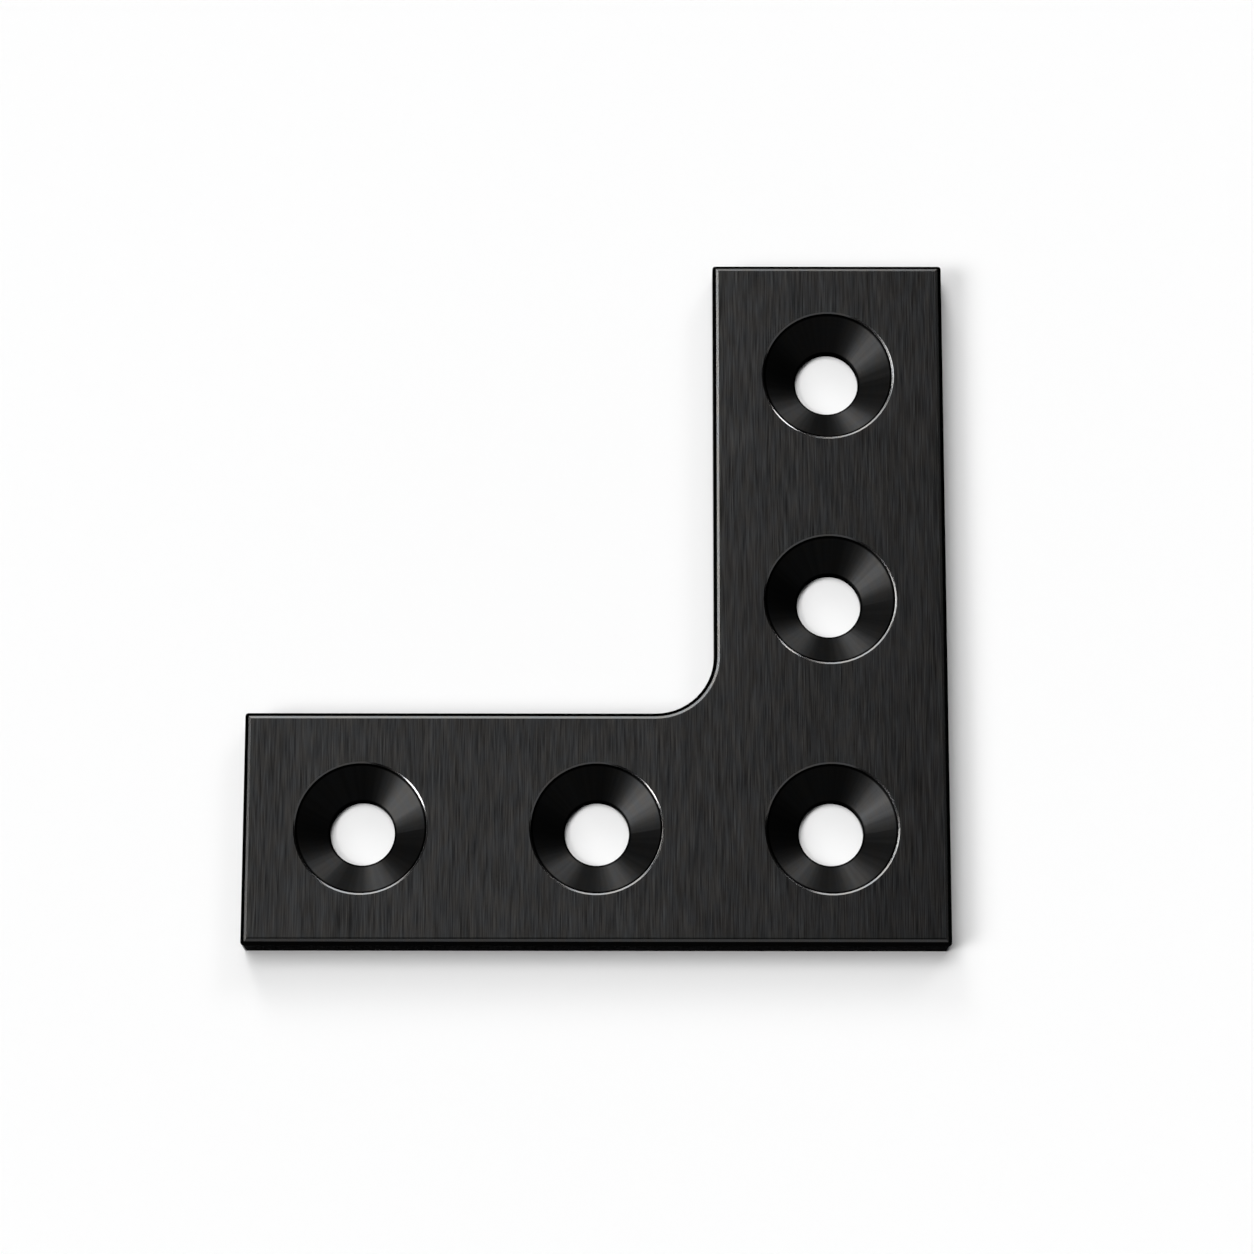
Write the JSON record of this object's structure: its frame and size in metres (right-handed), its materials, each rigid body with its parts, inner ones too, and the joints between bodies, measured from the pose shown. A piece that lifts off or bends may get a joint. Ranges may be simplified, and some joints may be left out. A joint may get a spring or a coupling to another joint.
{
  "type": "extrusion joining plate",
  "caption": "Flat L-shaped plate with a row of countersunk screw holes along each leg, which joins two slotted profiles at a right angle across their face.",
  "frame": {"origin": "on the axis of the corner hole, in the plane of the underside", "axes": "+Z out of the countersunk face, one leg along -X and the other along +Y"},
  "size_m": [0.06, 0.06, 0.0035],
  "materials": {
    "black_anodised": "brushed along the upright leg and anodised black, satin"
  },
  "bodies": {
    "root": {"joining_plate": "black_anodised"}
  },
  "joints": []
}
